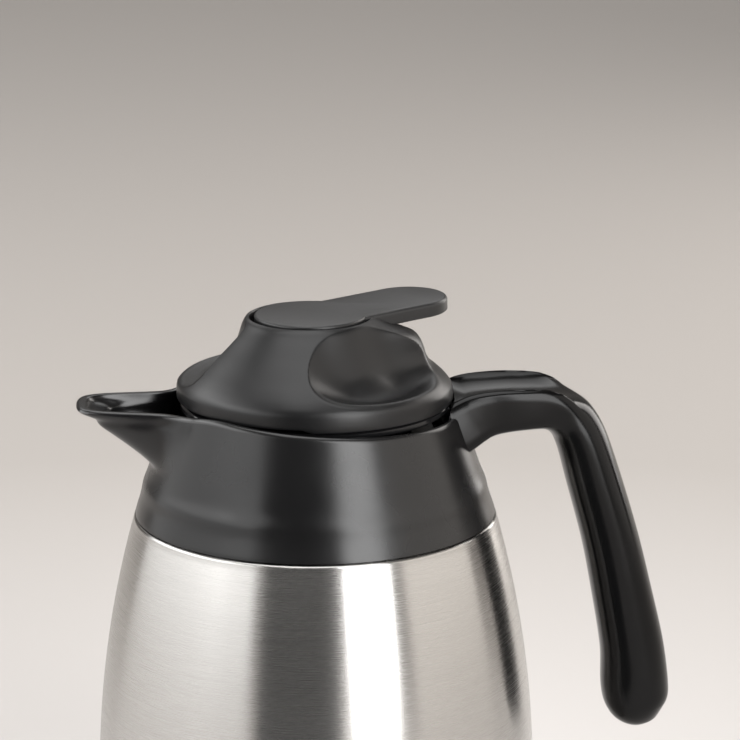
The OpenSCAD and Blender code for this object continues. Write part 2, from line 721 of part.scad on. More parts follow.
module thumb_lever() {
    bevel = 0.8;
    lug_in = paddle_half_w - 4;
    lug_back = 4;
    color([0.22, 0.22, 0.23])
        on_lid()
            difference() {
                union() {
                    bevelled_plate(disc_t, bevel) {
                        translate([-disc_forward, 0]) circle(r = disc_r - bevel, $fn = 96);
                        translate([-disc_forward, 0]) circle(r = disc_r, $fn = 96);
                    }
                    translate([pin_x, 0, lever_top_z]) rotate([0, -paddle_slope, 0])
                        translate([-pin_x, 0, -lever_top_z])
                            intersection() {
                                bevelled_plate(paddle_t, bevel) {
                                    paddle_outline(bevel);
                                    paddle_outline(0);
                                }
                                translate([4, -lid_r, 0]) cube([2 * lid_r, 2 * lid_r, 2 * lid_top_z]);
                            }
                    for (side = [-1, 1])
                        translate([pin_x - lug_back, side * (lug_in + 1.6) - 1.6, pin_z - 2.6])
                            cube([2 * lug_back, 3.2, lever_top_z - disc_t - pin_z + 3]);
                    for (side = [-1, 1]) {
                        translate([-2.5, side * 6 - 1, toe_z])
                            cube([5, 2, lever_top_z - disc_t - toe_z + 0.5]);
                        translate([-2, side * 4.7 - 2.3, toe_z]) cube([4, 4.6, toe_t]);
                    }
                }
                translate([pin_x, 0, pin_z]) rotate([90, 0, 0])
                    cylinder(r = pin_r + running, h = 4 * paddle_half_w, center = true, $fn = 32);
            }
}

// ---- Stopper and valve ----

// The glossy flange closes the stopper's top and guides the stem.
module stopper_flange() {
    color([0.1, 0.1, 0.11])
        on_lid()
            difference() {
                rotate_extrude($fn = 96)
                    polygon([[stem_r + running, flange_top_z], [flange_r - 0.6, flange_top_z],
                             [flange_r, flange_top_z - 0.6], [flange_r, flange_z + 0.5],
                             [flange_r - 0.5, flange_z], [guide_out_r, flange_z], [guide_out_r, guide_z],
                             [guide_in_r, guide_z], [guide_in_r, guide_z + seal_room],
                             [stem_r + running, guide_z + seal_room]]);
                at_lid_screws() translate([0, 0, flange_z - 1])
                    cylinder(r = lid_screw_r + pass, h = flange_t + 2, $fn = 24);
            }
}

// The barrel with the port, the gasket's groove, six windows up to the flange and three lugs
module stopper_body() {
    groove_low = gasket_z - pass;
    groove_high = gasket_z + gasket_h + pass;
    groove_r = gasket_in_r - pass;
    window_z = ledge_z + ledge_t + 0.6;
    window_half = 9;
    wall_in_r = barrel_r - barrel_t;
    color([0.1, 0.1, 0.11])
        on_lid() {
            difference() {
                rotate_extrude($fn = 96)
                    polygon([[barrel_r, flange_z], [barrel_r, groove_high], [groove_r, groove_high],
                             [groove_r, groove_low], [barrel_r, groove_low], [barrel_r, barrel_z + 1.5],
                             [barrel_r - 1.5, barrel_z], [port_r, barrel_z], [port_r, seat_z],
                             [inner_r, seat_z], [inner_r, groove_high + 2],
                             [wall_in_r, groove_high + 4], [wall_in_r, flange_z]]);
                for (k = [0:5])
                    rotate([0, 0, 60 * k + 30]) translate([wall_in_r / 2, -window_half, window_z])
                        cube([barrel_r, 2 * window_half, flange_z - window_z + 1]);
            }
            difference() {
                wedges(0, lug_angle, lug_r, mouth_z + pass, lug_t);
                cylinder(r = barrel_r - 1, h = lid_top_z, $fn = 96);
            }
        }
}

module stopper_gasket() {
    color([0.85, 0.85, 0.83])
        ring(gasket_in_r, neck_bore_r - pass, gasket_z, gasket_h);
}

module stem_seal() {
    color([0.3, 0.3, 0.3])
        on_lid() ring(stem_r + 0.1, guide_in_r - touch, guide_z + 0.2, seal_room - 0.4);
}

module valve_stem() {
    color([0.75, 0.75, 0.76])
        on_lid() {
            translate([0, 0, nut_z - 1]) cylinder(r = stem_r, h = head_z - nut_z + 1.4, $fn = 32);
            translate([0, 0, head_z]) cylinder(r = head_r, h = head_t, $fn = 48);
        }
}

module valve_plug() {
    color([0.9, 0.9, 0.88])
        on_lid()
            translate([0, 0, plug_z])
                rotate_extrude($fn = 64)
                    polygon([[stem_r + touch, 0], [plug_r, 0], [plug_r, 1.8], [plug_r - 1.5, plug_t],
                             [stem_r + touch, plug_t]]);
}

module valve_seal() {
    color([0.8, 0.8, 0.78])
        on_lid() ring(stem_r + touch, plug_r - 0.6, seal_z, seal_t);
}

module valve_nut() {
    color([0.7, 0.7, 0.7])
        on_lid()
            translate([0, 0, nut_z])
                difference() {
                    cylinder(r = 4.2, h = nut_t, $fn = 6);
                    translate([0, 0, -1]) cylinder(r = stem_r + touch, h = nut_t + 2, $fn = 32);
                }
}

// The spring stands on the plug and pushes against the underside of the flange.
spring_low = plug_z + plug_t + wire_r + touch;
spring_high = flange_z - wire_r - touch;
spring_turns = 7;

module valve_spring() {
    steps = 10 * spring_turns;
    echo(gap_between_turns = (spring_high - spring_low) / spring_turns - 2 * wire_r);
    color([0.75, 0.75, 0.75])
        on_lid()
            tube_skin([for (i = [0:steps])
                let (turn = 360 * spring_turns * i / steps, z = mix(spring_low, spring_high, i / steps))
                [for (k = [0:5]) let (a = 60 * k, r = spring_r + wire_r * cos(a))
                    [r * cos(turn), r * sin(turn), z + wire_r * sin(a)]]]);
}

outer_shell();
shell_shoulder();
inner_flask();
flask_bottom();
flask_neck();
shell_bottom();
getter();
vacuum_plug();
base_cup();
base_pad();
collar();
bowl_floor();
collar_seal();
bayonet_ring();
handle();
handle_screws();
stopper_gasket();
lid_shell();
stopper_flange();
stopper_body();
lid_screws();
lever_pin();
stem_seal();
thumb_lever();
valve_stem();
valve_plug();
valve_seal();
valve_nut();
valve_spring();
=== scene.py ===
"""Looks of the thermal carafe: smooth shells, finishes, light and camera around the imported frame.

Lengths are millimetres and angles are degrees until a mesh or an object is made, which is in metres.
Angles around the collar start at the spout, and angles around the lid at the lid's front.
"""

import math

import bmesh
import bpy
from mathutils import Matrix, Vector


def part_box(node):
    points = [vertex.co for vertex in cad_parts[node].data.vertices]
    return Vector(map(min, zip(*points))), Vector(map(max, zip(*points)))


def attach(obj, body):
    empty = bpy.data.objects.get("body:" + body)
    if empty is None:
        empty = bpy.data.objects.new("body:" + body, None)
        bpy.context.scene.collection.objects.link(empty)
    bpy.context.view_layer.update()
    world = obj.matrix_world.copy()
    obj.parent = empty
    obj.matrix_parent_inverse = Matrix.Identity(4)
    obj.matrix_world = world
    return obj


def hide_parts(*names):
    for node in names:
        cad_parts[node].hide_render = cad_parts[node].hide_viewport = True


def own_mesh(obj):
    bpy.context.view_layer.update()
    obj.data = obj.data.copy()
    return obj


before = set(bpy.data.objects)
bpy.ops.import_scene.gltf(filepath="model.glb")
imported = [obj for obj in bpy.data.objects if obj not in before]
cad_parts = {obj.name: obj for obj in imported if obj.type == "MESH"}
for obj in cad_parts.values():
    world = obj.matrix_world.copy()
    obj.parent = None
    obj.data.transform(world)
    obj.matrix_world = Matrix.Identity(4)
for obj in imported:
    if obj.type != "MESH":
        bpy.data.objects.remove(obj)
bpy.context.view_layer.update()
MM = 0.001


# ---- Small maths ----

def sin(a):
    return math.sin(math.radians(a))


def cos(a):
    return math.cos(math.radians(a))


def mix(a, b, t):
    return a + (b - a) * t


def unit(x):
    return min(1.0, max(0.0, x))


def smooth(low, high, x):
    t = unit((x - low) / (high - low))
    return t * t * (3 - 2 * t)


def bulge(x, power):
    return math.copysign(abs(x) ** power, x)


def spread(low, high, count):
    """Count + 1 even steps from low to high."""
    return [mix(low, high, i / count) for i in range(count + 1)]


def curve_at(points, u):
    """Point at u on the smooth curve through a list of points; u counts the points."""
    last = len(points) - 1
    i = min(int(math.floor(u)), last - 1)
    t = u - i
    a, b, c, d = points[max(i - 1, 0)], points[i], points[i + 1], points[min(i + 2, last)]
    return [0.5 * (2 * q + (r - p) * t + (2 * p - 5 * q + 4 * r - s) * t ** 2
                   + (3 * q - p - 3 * r + s) * t ** 3)
            for p, q, r, s in zip(a, b, c, d)]


def arc(cx, cz, r, start, end, count):
    return [(cx + r * cos(a), cz + r * sin(a)) for a in spread(start, end, count)]


# ---- Driving dimensions, taken from the frame where it has them ----

def low_mm(node):
    return [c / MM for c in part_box(node)[0]]


def high_mm(node):
    return [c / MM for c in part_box(node)[1]]


SHELL_Z = low_mm("outer_shell")[2]
MOUTH_Z = high_mm("shell_shoulder")[2]
BELLY_R = high_mm("outer_shell")[0]
SEAM_Z = low_mm("collar")[2]
SEAM_R = high_mm("collar")[0]
BELLY_Z = 64.4
STEEL_T = 0.8
NECK_R = 33.0
STEP_RISE = 3
SHOULDER_RISE = 9
PASS = 0.3
COLLAR_T = 2.2
RIM_R = 45.5
RIM_RISE = 35.9
RIM_TILT = 3.4
SWELL = 0.35
FLOOR_RISE = 17.6
SPOUT_REACH = -low_mm("collar")[0]
SPOUT_RISE = 35.5
KEEL_RISE = 17.4
SPOUT_HALF = 30
SPOUT_CORE = 12.9
TIP_RISE = 0.9
LIP_END = 16
RIM_START = 50
BEAK_EXTRA_T = 1.8
HANDLE_HALF_W = 11.8
GRIP_HALF_T = 9.2
HANDLE_REACH = 57.2
HANDLE_DROP = SEAM_Z - low_mm("handle")[2]
CHANNEL_D = 4
CHANNEL_SHARE = 0.86
SKIRT_Z = SEAM_Z + RIM_RISE + 0.6
LID_R = 43.0
LID_H = 26.3
LID_T = 2.4
LID_TOP_Z = SKIRT_Z + LID_H
LEVER_TOP_Z = LID_TOP_Z + 0.6
LID_TURN = 30
POUR_STEP = 1.0
POUR_HALF = 54.6
DISC_R = 17.4
WELL_GAP = 1.4
DISC_FORWARD = 1.6
DISC_T = 3.4
PADDLE_HALF_W = 13.0
PADDLE_T = 4.4
PADDLE_REACH = 48.0
PADDLE_SLOPE = 1.6
PIN_X = 14.0
PIN_Z = LID_TOP_Z - 7.8


# ---- Meshes ----

def new_object(name, mesh):
    obj = bpy.data.objects.new(name, mesh)
    bpy.context.scene.collection.objects.link(obj)
    return obj


def build(name, points, faces):
    """An object from points in millimetres, with its normals pointing out."""
    mesh = bpy.data.meshes.new(name)
    mesh.from_pydata([[c * MM for c in p] for p in points], [], faces)
    edit = bmesh.new()
    edit.from_mesh(mesh)
    bmesh.ops.remove_doubles(edit, verts=edit.verts, dist=1e-6)
    bmesh.ops.recalc_face_normals(edit, faces=edit.faces)
    edit.to_mesh(mesh)
    edit.free()
    return new_object(name, mesh)


def skin(name, loops, ends="ring"):
    """A surface through loops of points. The ends are joined as a ring or closed with a flat cap."""
    count = len(loops[0])
    points = [p for loop in loops for p in loop]
    spans = len(loops) if ends == "ring" else len(loops) - 1
    faces = []
    for i in range(spans):
        here, there = i * count, (i + 1) % len(loops) * count
        faces += [(here + j, here + (j + 1) % count, there + (j + 1) % count, there + j) for j in range(count)]
    if ends == "caps":
        faces += [tuple(range(count)), tuple(len(points) - count + j for j in range(count))]
    return build(name, points, faces)


def lathe(name, outline, segments=256, turn=0):
    """A closed outline of (radius, height) turned about the axis."""
    angles = [360 * i / segments + turn for i in range(segments)]
    return skin(name, [[(r * cos(a), r * sin(a), z) for r, z in outline] for a in angles])


def dress(obj, body, material, nodes=(), sharp=38):
    """Gives a piece its finish, its shading and its body, and hides the nodes that it stands for."""
    mesh = obj.data
    mesh.shade_smooth()
    mesh.set_sharp_from_angle(angle=math.radians(sharp))
    mesh.materials.clear()
    mesh.materials.append(material)
    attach(obj, body)
    if nodes:
        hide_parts(*nodes)
    return obj


def boolean(obj, cutter, operation):
    """Joins, cuts or intersects obj with the cutter, and removes the cutter."""
    modifier = obj.modifiers.new("boolean", "BOOLEAN")
    modifier.operation = operation
    modifier.object = cutter
    modifier.solver = "EXACT"
    apply_modifiers(obj)
    bpy.data.objects.remove(cutter)


def apply_modifiers(obj):
    graph = bpy.context.evaluated_depsgraph_get()
    mesh = bpy.data.meshes.new_from_object(obj.evaluated_get(graph))
    obj.modifiers.clear()
    obj.data = mesh


def block(name, low, high):
    xs, ys, zs = zip(low, high)
    points = [(x, y, z) for x in xs for y in ys for z in zs]
    faces = [(0, 1, 3, 2), (4, 6, 7, 5), (0, 4, 5, 1), (2, 3, 7, 6), (0, 2, 6, 4), (1, 5, 7, 3)]
    return build(name, points, faces)


def on_lid(points):
    """Points drawn with the lid's front at -X, turned to where the lid stands."""
    c, s = cos(LID_TURN), sin(LID_TURN)
    return [(x * c - y * s, x * s + y * c, z) for x, y, z in points]


# ---- Materials ----

class Finish:
    """A node material around one Principled shader, with object coordinates in metres."""

    def __init__(self, name, color, roughness, metallic=0.0, **sockets):
        self.material = bpy.data.materials.new(name)
        self.material.use_nodes = True
        self.nodes = self.material.node_tree.nodes
        self.links = self.material.node_tree.links
        self.shader = self.nodes["Principled BSDF"]
        self.color, self.roughness = color, roughness
        self.set("Base Color", (*color, 1))
        self.set("Roughness", roughness)
        self.set("Metallic", metallic)
        for socket, value in sockets.items():
            self.set(socket.replace("_", " "), value)
        self.coordinates = self.nodes.new("ShaderNodeTexCoord").outputs["Object"]
        self.height = None

    def set(self, socket, value):
        self.shader.inputs[socket].default_value = value

    def noise(self, size, detail=2.0, stretch=(1, 1, 1), rough=0.5):
        """Noise whose features are about size millimetres, times stretch along each axis."""
        mapping = self.nodes.new("ShaderNodeMapping")
        mapping.inputs["Scale"].default_value = [1 / s for s in stretch]
        self.links.new(self.coordinates, mapping.inputs["Vector"])
        texture = self.nodes.new("ShaderNodeTexNoise")
        texture.inputs["Scale"].default_value = 1 / (size * MM)
        texture.inputs["Detail"].default_value = detail
        texture.inputs["Roughness"].default_value = rough
        self.links.new(mapping.outputs["Vector"], texture.inputs["Vector"])
        return texture.outputs["Fac"]

    def remap(self, value, low, high, out_low, out_high):
        node = self.nodes.new("ShaderNodeMapRange")
        for socket, number in zip(("From Min", "From Max", "To Min", "To Max"), (low, high, out_low, out_high)):
            node.inputs[socket].default_value = number
        self.links.new(value, node.inputs["Value"])
        return node.outputs["Result"]

    def tint(self, factor, color):
        """Mixes the base colour towards another colour by a factor."""
        node = self.nodes.new("ShaderNodeMix")
        node.data_type = "RGBA"
        base = self.shader.inputs["Base Color"]
        if base.is_linked:
            self.links.new(base.links[0].from_socket, node.inputs["A"])
        else:
            node.inputs["A"].default_value = (*self.color, 1)
        node.inputs["B"].default_value = (*color, 1)
        self.links.new(factor, node.inputs["Factor"])
        self.links.new(node.outputs["Result"], base)

    def vary_roughness(self, value, amount):
        self.links.new(self.remap(value, 0.3, 0.7, self.roughness - amount, self.roughness + amount),
                       self.shader.inputs["Roughness"])

    def bump(self, value, depth):
        """Adds relief of that depth in millimetres."""
        node = self.nodes.new("ShaderNodeBump")
        node.inputs["Distance"].default_value = depth * MM
        self.links.new(value, node.inputs["Height"])
        if self.height is not None:
            self.links.new(self.height, node.inputs["Normal"])
        self.height = node.outputs["Normal"]
        self.links.new(self.height, self.shader.inputs["Normal"])


def shade(color, factor):
    return [min(1, c * factor) for c in color]


def moulded(name, color, roughness, grain=0.35, depth=0.02, **sockets):
    """Moulded plastic: fine spark grain, slow gloss changes, faint dust, and edges made lighter, partly as wear
    and partly as a painted sheen.
    """
    finish = Finish(name, color, roughness, **sockets)
    finish.bump(finish.noise(grain, detail=3), depth)
    finish.bump(finish.noise(18, detail=1), 0.03)
    slow = finish.noise(25, detail=4)
    finish.vary_roughness(slow, 0.05)
    finish.tint(finish.remap(finish.noise(grain * 1.4, detail=2), 0.5, 0.8, 0, 0.3), shade(color, 1.8))
    finish.tint(finish.remap(slow, 0.5, 0.8, 0, 0.3), shade(color, 1.4))
    # Painted sheen with wear: pointed edges are tinted lighter, partly as rubbed wear and partly as a painted
    # sheen.
    edge = finish.nodes.new("ShaderNodeNewGeometry").outputs["Pointiness"]
    finish.tint(finish.remap(edge, 0.52, 0.62, 0, 0.3), shade(color, 2.2))
    return finish.material


def brushed(name, color, roughness, anisotropy=0.8, depth=0.006):
    """Steel brushed round the axis: long level hairlines at three scales, spreading light up and down."""
    finish = Finish(name, color, roughness, metallic=1.0, Anisotropic=anisotropy)
    finish.set("Anisotropic Rotation", 0.25)
    tangent = finish.nodes.new("ShaderNodeTangent")
    tangent.direction_type = "RADIAL"
    tangent.axis = "Z"
    finish.links.new(tangent.outputs["Tangent"], finish.shader.inputs["Tangent"])
    hair = finish.noise(22, detail=5, stretch=(1, 1, 0.004), rough=0.75)
    line = finish.noise(60, detail=3, stretch=(1, 1, 0.006), rough=0.6)
    slow = finish.noise(70, detail=2, stretch=(1, 1, 0.12))
    finish.bump(hair, depth)
    finish.vary_roughness(hair, 0.05)
    finish.tint(finish.remap(hair, 0.3, 0.7, 0, 0.16), shade(color, 0.7))
    finish.tint(finish.remap(line, 0.4, 0.7, 0, 0.2), shade(color, 1.15))
    finish.tint(finish.remap(slow, 0.4, 0.8, 0, 0.12), shade(color, 0.88))
    return finish.material


def turned(name, color, roughness):
    """Small bright steel parts: fine drawing marks and a slow change of gloss."""
    finish = Finish(name, color, roughness, metallic=1.0)
    mark = finish.noise(2, detail=4, stretch=(1, 1, 0.08))
    finish.bump(mark, 0.003)
    finish.vary_roughness(finish.noise(6, detail=3), 0.06)
    finish.tint(finish.remap(mark, 0.4, 0.7, 0, 0.35), shade(color, 0.75))
    return finish.material


def soft(name, color, roughness, clear=0.0):
    """Rubber or silicone: dull, faintly mottled, with a fine bloom."""
    finish = Finish(name, color, roughness)
    finish.set("Subsurface Weight", clear)
    finish.set("Subsurface Scale", 2 * MM)
    finish.bump(finish.noise(0.25, detail=3), 0.012)
    slow = finish.noise(9, detail=4)
    finish.vary_roughness(slow, 0.06)
    finish.tint(finish.remap(slow, 0.45, 0.75, 0, 0.3), shade(color, 1.3))
    finish.tint(finish.remap(finish.noise(0.4, detail=2), 0.5, 0.8, 0, 0.3), shade(color, 1.5))
    return finish.material


STEEL = brushed("brushed_steel", (0.55, 0.54, 0.525), 0.26, anisotropy=0.93, depth=0.003)
INNER_STEEL = brushed("inner_steel", (0.55, 0.54, 0.52), 0.34, anisotropy=0.5)
COLLAR = moulded("collar_plastic", (0.005, 0.005, 0.0053), 0.25, grain=0.3, depth=0.004)
HANDLE = moulded("handle_plastic", (0.0025, 0.0025, 0.0027), 0.19, grain=0.3, depth=0.002,
                 Specular_IOR_Level=0.22)
LID = moulded("lid_plastic", (0.004, 0.004, 0.0044), 0.36, grain=0.35, depth=0.012,
              Specular_IOR_Level=0.42)
LEVER = moulded("lever_plastic", (0.008, 0.008, 0.0085), 0.4, grain=0.35, depth=0.014)
STOPPER = moulded("stopper_plastic", (0.006, 0.006, 0.0065), 0.12, grain=0.5, depth=0.001)
BASE = moulded("base_plastic", (0.012, 0.012, 0.0125), 0.38, grain=0.35, depth=0.010)
VALVE = moulded("valve_plastic", (0.6, 0.6, 0.56), 0.35, grain=0.4, depth=0.006)
RUBBER = soft("pad_rubber", (0.018, 0.018, 0.018), 0.75)
SILICONE = soft("silicone", (0.5, 0.5, 0.48), 0.5, clear=0.3)
BRIGHT = turned("small_steel", (0.68, 0.68, 0.69), 0.2)
DULL = turned("getter_metal", (0.2, 0.2, 0.21), 0.5)


# ---- Steel body ----

ARC_RISE = SEAM_Z - BELLY_Z
ARC_DRAW = BELLY_R - SEAM_R
ARC_R = (ARC_RISE ** 2 + ARC_DRAW ** 2) / (2 * ARC_DRAW)
SEAM_GAP = 0.45
ROLL_R = 1.1


def body_r(z):
    return BELLY_R - ARC_R + math.sqrt(ARC_R ** 2 - (z - BELLY_Z) ** 2)


def shell_line(off):
    """The shell's outline from the bottom to the mouth, moved in by off."""
    edge_z = SEAM_Z - SEAM_GAP
    roll_z = edge_z - ROLL_R
    roll_x = body_r(roll_z) - ROLL_R
    step_r = SEAM_R - COLLAR_T - PASS
    step_top_r = step_r - STEP_RISE * (SEAM_R - RIM_R) / (RIM_RISE - RIM_TILT)
    shoulder_z = SEAM_Z + SHOULDER_RISE
    fillet = 3
    return ([(body_r(z) - off, z) for z in spread(SHELL_Z, roll_z, 90)]
            + arc(roll_x, roll_z, ROLL_R - off, 9, 90, 9)
            + [(step_r - off, edge_z - off), (step_top_r - off, SEAM_Z + STEP_RISE - 0.35 * off),
               (NECK_R + fillet - 0.4 * off, shoulder_z - off), (NECK_R - off, shoulder_z + fillet - 0.4 * off),
               (NECK_R - off, MOUTH_Z)])


def make_steel_body():
    body = lathe("steel_body", shell_line(0) + shell_line(STEEL_T)[::-1], segments=288)
    dress(body, "carafe", STEEL, ["outer_shell", "shell_shoulder"])


def make_base():
    top_r = body_r(SHELL_Z)
    pad_z = high_mm("base_pad")[2]
    pad_r = high_mm("base_pad")[0]
    low_r = pad_r + 3
    cup_t, round_r = 1.8, 1.2
    outline = ([(0, pad_z), (low_r - round_r, pad_z)]
               + arc(low_r - round_r, pad_z + round_r, round_r, -90, -20, 6)
               + [(mix(low_r, top_r, 0.6), mix(pad_z, SHELL_Z, 0.6)), (top_r - 0.3, SHELL_Z - 0.35),
                  (top_r - 0.6, SHELL_Z), (top_r - 8, SHELL_Z), (top_r - 9.5, SHELL_Z - 1),
                  (low_r - 6, pad_z + cup_t), (0, pad_z + cup_t)])
    cup = lathe("base_cup_moulded", outline, segments=192)
    dress(cup, "carafe", BASE, ["base_cup"])
    groove_d, groove_step = 0.4, 9
    grooves = [(k * groove_step + out, z) for k in range(6, 0, -1)
               for out, z in ((1, 0), (0.6, groove_d), (-0.6, groove_d), (-1, 0))]
    pad = lathe("base_pad_rubber", [(0, pad_z), (pad_r - 0.2, pad_z), (pad_r, pad_z - 0.2),
                                    (pad_r, 0.3), (pad_r - 0.3, 0)] + grooves + [(0, 0)], segments=192)
    dress(pad, "carafe", RUBBER, ["base_pad"])


# ---- Collar ----

def spout_fade(angle, core=SPOUT_CORE):
    """Share of the beak's reach at an angle: flat across the tip, with steep sides."""
    ends = 1 / (1 + (SPOUT_HALF / core) ** 5)
    return max(0, 1 / (1 + (abs(angle) / core) ** 5) - ends) / (1 - ends)


def rim_rise_at(angle):
    beak = SPOUT_RISE + TIP_RISE * spout_fade(angle)
    return mix(beak, RIM_RISE + RIM_TILT * cos(angle), smooth(LIP_END, RIM_START, abs(angle)))


def keel_at(rise):
    """How far the beak stands out at a height, drawn in a little under its thick lip."""
    share = (rise - KEEL_RISE) / (SPOUT_RISE - KEEL_RISE)
    hollow = 1.8 * math.exp(-((rise - SPOUT_RISE + 2.7) / 1.5) ** 2)
    return max(0, (SPOUT_REACH - RIM_R) * unit((share + math.hypot(share, 0.03)) / 2) ** 1.1 - hollow)


def collar_out(angle, v):
    rise = v * rim_rise_at(angle)
    return (mix(SEAM_R, RIM_R, v) + SWELL * math.exp(-((rise - 10) / 2.6) ** 2)
            + keel_at(rise) * spout_fade(angle), rise)


def collar_in(angle, v):
    rise = v * rim_rise_at(angle)
    deep = max(0, keel_at(rise) - BEAK_EXTRA_T)
    return mix(SEAM_R, RIM_R, v) - COLLAR_T + deep * spout_fade(angle, SPOUT_CORE - 1.5), rise


def collar_section(angle):
    """Outline of the collar at an angle: outside, rounded lip, inside, bowl's floor, underside."""
    rise = rim_rise_at(angle)
    top, inside = collar_out(angle, 1)[0], collar_in(angle, 1)[0]
    lip = min(0.8 + 0.6 * spout_fade(angle), (top - inside) / 2 - 0.1)
    fillet, floor_t, low_out = 3.2, 2.4, 0.35
    floor_v = (FLOOR_RISE + fillet) / rise
    wall_r = collar_in(angle, floor_v)[0]
    under = FLOOR_RISE - floor_t
    return ([(SEAM_R - low_out, 0), (SEAM_R - 0.3 * low_out, 0.3 * low_out)]
            + [collar_out(angle, v) for v in spread(0.02, 1 - lip / rise, 56)]
            + [(top - lip + lip * cos(a), rise - lip + lip * sin(a)) for a in (25, 50, 72, 90)]
            + [(inside + lip - lip * sin(a), rise - lip + lip * cos(a)) for a in (0, 18, 40, 65)]
            + [collar_in(angle, v) for v in spread(1 - lip / rise, floor_v, 24)]
            + [(wall_r - fillet + fillet * cos(a), FLOOR_RISE + fillet - fillet * sin(a))
               for a in (22, 45, 67, 90)]
            + [(NECK_R + PASS, FLOOR_RISE), (NECK_R + PASS, under), (NECK_R + 9, under),
               (SEAM_R - COLLAR_T - 4.6, under - 1.6)]
            + [(mix(SEAM_R, RIM_R, v) - COLLAR_T, v * rise) for v in (0.32, 0.16, 0)])


def make_collar():
    half = spread(0, 30, 60) + spread(30, 60, 24)[1:] + spread(60, 180, 60)[1:]
    angles = half + [-a for a in half[-2:0:-1]]
    collar = skin("collar_shell", [[(-r * cos(a), r * sin(a), SEAM_Z + z) for r, z in collar_section(a)]
                                   for a in angles])
    dress(collar, "carafe", COLLAR, ["collar", "bowl_floor"], sharp=50)


# ---- Handle ----

# Rows along the handle: place from the rim and the seam, half thickness, half width.
HANDLE_ROWS = [
    [-2.5, 28.4, 8.9, 1.36 * HANDLE_HALF_W],
    [3, 31.4, 8.4, 1.28 * HANDLE_HALF_W],
    [9, 33.1, 7.5, 1.22 * HANDLE_HALF_W],
    [18, 33.8, 7.1, 1.18 * HANDLE_HALF_W],
    [27, 33.3, 7.2, 1.08 * HANDLE_HALF_W],
    [33.4, 29.3, 7.5, HANDLE_HALF_W],
    [38, 22.3, 0.87 * GRIP_HALF_T, HANDLE_HALF_W],
    [42.6, 8, 0.93 * GRIP_HALF_T, HANDLE_HALF_W],
    [48.2, -11.5, 0.97 * GRIP_HALF_T, HANDLE_HALF_W],
    [HANDLE_REACH - 4.8, -30, 1.03 * GRIP_HALF_T, HANDLE_HALF_W],
    [HANDLE_REACH - 1.2, -48, 1.1 * GRIP_HALF_T, HANDLE_HALF_W],
    [HANDLE_REACH, 13.4 - HANDLE_DROP, 1.17 * GRIP_HALF_T, HANDLE_HALF_W],
    [HANDLE_REACH + 0.9, 6.8 - HANDLE_DROP, 1.05 * GRIP_HALF_T, 0.92 * HANDLE_HALF_W],
    [HANDLE_REACH + 2.2, 2 - HANDLE_DROP, 0.62 * GRIP_HALF_T, 0.62 * HANDLE_HALF_W],
    [HANDLE_REACH + 2.8, -HANDLE_DROP, 1.6, 1.8]]


def channel_at(u):
    return CHANNEL_D * smooth(0.2, 1.1, u) * (1 - smooth(3.6, 5.4, u))


def handle_section(u, count=96):
    row = curve_at(HANDLE_ROWS, u)
    last, e = len(HANDLE_ROWS) - 1, 0.02
    ahead, behind = curve_at(HANDLE_ROWS, min(u + e, last)), curve_at(HANDLE_ROWS, max(u - e, 0))
    along = Vector((ahead[0] - behind[0], ahead[1] - behind[1])).normalized()
    power = 2 / mix(7, 2.2, smooth(2.2, 5.6, u))
    points = []
    for k in range(count):
        angle = -360 * k / count
        side = row[3] * bulge(cos(angle), power)
        flat = row[2] * bulge(sin(angle), power)
        dip = channel_at(u) * max(0, 1 - (side / (CHANNEL_SHARE * row[3])) ** 2) ** 0.6 if flat > 0 else 0
        points.append([RIM_R + row[0] - along[1] * (flat - dip), side, row[1] + along[0] * (flat - dip)])
    return points


def keep_outside_bowl(point):
    """Moves a point of the handle's root out to the collar's wall, or above the rim out of the lid's way."""
    x, y, rise = point
    rear_rise = RIM_RISE - RIM_TILT
    if rise < rear_rise:
        wall_r = mix(SEAM_R, RIM_R, unit(rise / rear_rise)) - 0.4 * COLLAR_T
    else:
        wall_r = LID_R + 2 * PASS
    if abs(y) < wall_r:
        x = max(x, math.sqrt(wall_r ** 2 - y ** 2))
    return x, y, SEAM_Z + rise


def make_handle():
    steps = spread(0, len(HANDLE_ROWS) - 1, 196)
    handle = skin("handle_moulded", [[keep_outside_bowl(p) for p in handle_section(u)] for u in steps],
                  ends="caps")
    dress(handle, "carafe", HANDLE, ["handle"], sharp=60)


# ---- Lid ----

# Profiles from the skirt's edge to the top: the share of the way out from the crown, and of the height.
FRONT_PROFILE = [[1, 0], [1, 0.143], [0.98, 0.223], [0.91, 0.306], [0.8, 0.404], [0.66, 0.513],
                 [0.513, 0.626], [0.364, 0.736], [0.229, 0.838], [0.123, 0.917], [0.051, 0.974], [0, 1]]
SCOOP_PROFILE = [[1, 0], [1, 0.136], [0.975, 0.211], [0.915, 0.249], [0.814, 0.242], [0.653, 0.238],
                 [0.475, 0.298], [0.322, 0.419], [0.22, 0.57], [0.14, 0.743], [0.076, 0.909], [0, 1]]
REAR_PROFILE = [[1, 0], [1, 0.087], [0.983, 0.162], [0.924, 0.238], [0.831, 0.321], [0.735, 0.4],
                [0.67, 0.502], [0.63, 0.62], [0.57, 0.725], [0.45, 0.81], [0.21, 0.9], [0, 1]]
RINGS = len(FRONT_PROFILE) - 1
# Between these angles the front's outline passes into the rear's.
FRONT_END = 95
REAR_START = 145
# Middle, half angle, edge softness and squareness of the thumb's scoop and the fingers' scoop
THUMB_SCOOP = (-95, 43, 0.7, 2)
FINGER_SCOOP = (70, 60, 0.16, 5)


def scoop_depth(angle, share):
    middle, half, edge, power = THUMB_SCOOP if angle < 0 else FINGER_SCOOP
    reach = ((abs(angle - middle) / half) ** power + (abs(share - 0.55) / 0.4) ** power) ** (1 / power)
    inside = unit((1 - reach) / edge)
    return 1 - (1 - inside) ** 2


def well_at(angle, radius):
    return DISC_FORWARD * cos(angle) + math.sqrt(radius ** 2 - (DISC_FORWARD * sin(angle)) ** 2)


